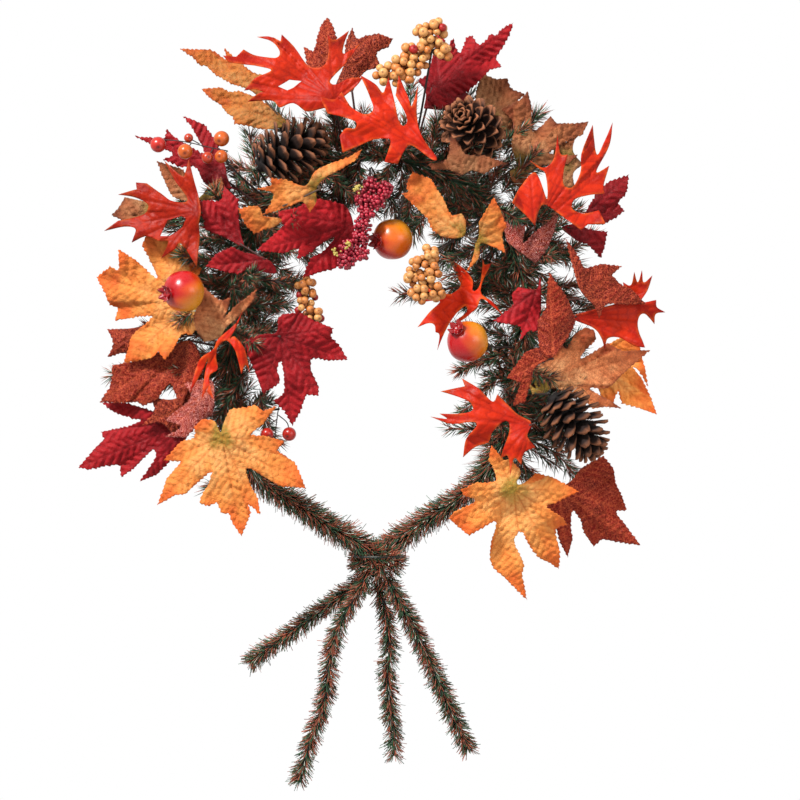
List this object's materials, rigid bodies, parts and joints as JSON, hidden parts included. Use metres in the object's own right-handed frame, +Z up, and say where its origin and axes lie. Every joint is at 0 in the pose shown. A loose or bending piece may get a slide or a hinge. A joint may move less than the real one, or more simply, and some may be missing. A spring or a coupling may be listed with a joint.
{
  "type": "harvest door wreath",
  "caption": "Open teardrop garland wreath with leaf picks, pinecones, fruit and berries on a wire hoop, with pine tails and a hanging eye.",
  "frame": {"origin": "inner top of the hanging eye, where a door hook carries the wreath", "axes": "+Z up, +X to the right as seen from the front; the decorated front faces -Y and the door is behind, at +Y"},
  "size_m": [0.5876, 0.1447, 0.7766],
  "materials": {
    "wire": "satin green-black lacquer",
    "pine": "matte PVC needles, green with red-brown",
    "oak": "printed polyester, soft satin",
    "orange": "printed polyester, embossed veins",
    "crimson": "printed polyester, pleated veins",
    "burgundy": "printed polyester, light veins",
    "tan": "printed polyester, brown edges",
    "cone": "natural dry scales",
    "pomegranate": "glossy lacquered foam, red blush",
    "peach": "satin painted foam beads",
    "berry": "glossy painted beads",
    "pepper": "satin painted beads"
  },
  "bodies": {
    "wreath": {"frame_hoop": "wire", "tie_wire": "wire", "pine_garland_left": "pine", "pine_garland_right": "pine", "pine_arm_left": "pine", "pine_arm_right": "pine", "oak_leaf_top_left": "oak", "oak_leaf_left": "oak", "oak_leaf_inner_right": "oak", "oak_leaf_right": "oak", "maple_leaf_left": "orange", "maple_leaf_far_right": "orange", "maple_pair_top_left": "orange", "maple_pair_curled": "orange", "crimson_leaf_top_right": "crimson", "crimson_leaf_inner_top": "crimson", "crimson_leaf_inner_left": "crimson", "crimson_leaf_lower_left": "crimson", "crimson_pair_left": "crimson", "crimson_leaf_far_left": "crimson", "crimson_pair_right": "crimson", "crimson_leaf_small": "crimson", "burgundy_leaf_top": "burgundy", "burgundy_leaf_crown": "burgundy", "burgundy_leaf_left": "burgundy", "burgundy_leaf_turned": "burgundy", "burgundy_leaf_right": "burgundy", "burgundy_pair_tall": "burgundy", "burgundy_leaf_inner": "burgundy", "burgundy_leaf_lower_right": "burgundy", "brown_leaf_curled": "tan", "tan_leaf_top_right": "tan", "tan_leaf_right": "tan", "tan_leaf_folded": "tan", "tan_leaf_far_left": "tan", "pinecone_top_left": "cone", "pinecone_top_right": "cone", "pinecone_right": "cone"},
    "hanging_eye": {"hanging_eye": "wire"},
    "pine_tail_far_left": {"pine_tail_far_left": "pine"},
    "pine_tail_left": {"pine_tail_left": "pine"},
    "pine_tail_right": {"pine_tail_right": "pine"},
    "pine_tail_far_right": {"pine_tail_far_right": "pine"},
    "pomegranate_left": {"pomegranate_left": "pomegranate"},
    "pomegranate_top": {"pomegranate_top": "pomegranate"},
    "pomegranate_right": {"pomegranate_right": "pomegranate"},
    "peach_berries_top": {"peach_berries_top": "peach"},
    "peach_berries_inner_right": {"peach_berries_inner_right": "peach"},
    "peach_berries_inner_left": {"peach_berries_inner_left": "peach"},
    "orange_berry_spray": {"orange_berry_spray": "berry"},
    "red_berry_sprig": {"red_berry_sprig": "berry"},
    "pepper_berries": {"pepper_berries": "pepper"},
    "oak_leaf_top": {"oak_leaf_top": "oak"},
    "oak_leaf_lower_right": {"oak_leaf_lower_right": "oak"},
    "oak_leaf_folded_left": {"oak_leaf_folded_left": "oak"},
    "oak_leaf_right_top": {"oak_leaf_right_top": "oak"},
    "maple_leaf_lower_left": {"maple_leaf_lower_left": "orange"},
    "maple_leaf_lower_right": {"maple_leaf_lower_right": "orange"},
    "maple_pair_top": {"maple_pair_top": "orange"}
  },
  "joints": [
    {"name": "hanging_eye_fold", "type": "hinge", "parent": "wreath", "child": "hanging_eye", "pos_m": [0, -0.027, -0.031], "axis": [1, 0, 0], "range_deg": [-70, 5]},
    {"name": "pine_tail_far_left_bend", "type": "hinge", "parent": "wreath", "child": "pine_tail_far_left", "pos_m": [-0.021, -0.017, -0.463], "axis": [0, 1, 0], "range_deg": [-10, 10]},
    {"name": "pine_tail_left_bend", "type": "hinge", "parent": "wreath", "child": "pine_tail_left", "pos_m": [-0.02, -0.037, -0.47], "axis": [0, 1, 0], "range_deg": [-10, 10]},
    {"name": "pine_tail_right_bend", "type": "hinge", "parent": "wreath", "child": "pine_tail_right", "pos_m": [0.001, -0.017, -0.47], "axis": [0, 1, 0], "range_deg": [-10, 10]},
    {"name": "pine_tail_far_right_bend", "type": "hinge", "parent": "wreath", "child": "pine_tail_far_right", "pos_m": [0.015, -0.037, -0.468], "axis": [0, 1, 0], "range_deg": [-10, 10]},
    {"name": "pomegranate_left_turn", "type": "hinge", "parent": "wreath", "child": "pomegranate_left", "pos_m": [-0.19074, -0.119, -0.169], "axis": [-0.3974, -0.9169, -0.0375], "range_deg": [-25, 25]},
    {"name": "pomegranate_top_turn", "type": "hinge", "parent": "wreath", "child": "pomegranate_top", "pos_m": [0.01462, -0.077, -0.11567], "axis": [-0.2585, -0.422, -0.8689], "range_deg": [-25, 25]},
    {"name": "pomegranate_right_turn", "type": "hinge", "parent": "wreath", "child": "pomegranate_right", "pos_m": [0.08861, -0.115, -0.21845], "axis": [-0.5609, -0.8262, 0.0524], "range_deg": [-25, 25]},
    {"name": "peach_berries_top_turn", "type": "hinge", "parent": "wreath", "child": "peach_berries_top", "pos_m": [0.0551, -0.097, 0.08021], "axis": [0.224, -0.4502, 0.8644], "range_deg": [-6, 6]},
    {"name": "peach_berries_inner_right_turn", "type": "hinge", "parent": "wreath", "child": "peach_berries_inner_right", "pos_m": [0.0517, -0.101, -0.13329], "axis": [-0.5961, -0.6454, -0.4777], "range_deg": [-8, 8]},
    {"name": "peach_berries_inner_left_turn", "type": "hinge", "parent": "wreath", "child": "peach_berries_inner_left", "pos_m": [-0.07229, -0.063, -0.16184], "axis": [0.9145, -0.2978, -0.2737], "range_deg": [-8, 8]},
    {"name": "orange_berry_spray_turn", "type": "hinge", "parent": "wreath", "child": "orange_berry_spray", "pos_m": [-0.15578, -0.085, -0.03373], "axis": [-0.6222, -0.6072, 0.4942], "range_deg": [-6, 6]},
    {"name": "red_berry_sprig_turn", "type": "hinge", "parent": "wreath", "child": "red_berry_sprig", "pos_m": [-0.09889, -0.067, -0.28505], "axis": [0.8375, -0.5289, 0.1374], "range_deg": [-8, 8]},
    {"name": "pepper_berries_turn", "type": "hinge", "parent": "wreath", "child": "pepper_berries", "pos_m": [-0.00718, -0.103, -0.06425], "axis": [0.0605, -0.9363, -0.3461], "range_deg": [-6, 6]},
    {"name": "oak_leaf_top_turn", "type": "hinge", "parent": "wreath", "child": "oak_leaf_top", "pos_m": [0.05769, -0.1253, -0.03621], "axis": [0, -1, 0], "range_deg": [-6, 6]},
    {"name": "oak_leaf_lower_right_turn", "type": "hinge", "parent": "wreath", "child": "oak_leaf_lower_right", "pos_m": [0.14999, -0.12497, -0.30046], "axis": [0.0268, -0.9996, -0.0097], "range_deg": [0, 6]},
    {"name": "oak_leaf_folded_left_turn", "type": "hinge", "parent": "wreath", "child": "oak_leaf_folded_left", "pos_m": [-0.13963, -0.12523, -0.19862], "axis": [0, -1, 0], "range_deg": [-8, 8]},
    {"name": "oak_leaf_right_top_turn", "type": "hinge", "parent": "wreath", "child": "oak_leaf_right_top", "pos_m": [0.15407, -0.11204, -0.10715], "axis": [0.1459, -0.987, 0.068], "range_deg": [-5, 5]},
    {"name": "maple_leaf_lower_left_turn", "type": "hinge", "parent": "wreath", "child": "maple_leaf_lower_left", "pos_m": [-0.15396, -0.11303, -0.31284], "axis": [-0.0207, -0.9998, 0.0055], "range_deg": [-6, 6]},
    {"name": "maple_leaf_lower_right_turn", "type": "hinge", "parent": "wreath", "child": "maple_leaf_lower_right", "pos_m": [0.13402, -0.11122, -0.36346], "axis": [0.1879, -0.9703, -0.1523], "range_deg": [-6, 6]},
    {"name": "maple_pair_top_turn", "type": "hinge", "parent": "wreath", "child": "maple_pair_top", "pos_m": [-0.05629, -0.12371, -0.06852], "axis": [0.0428, -0.9859, -0.162], "range_deg": [-6, 6]}
  ]
}
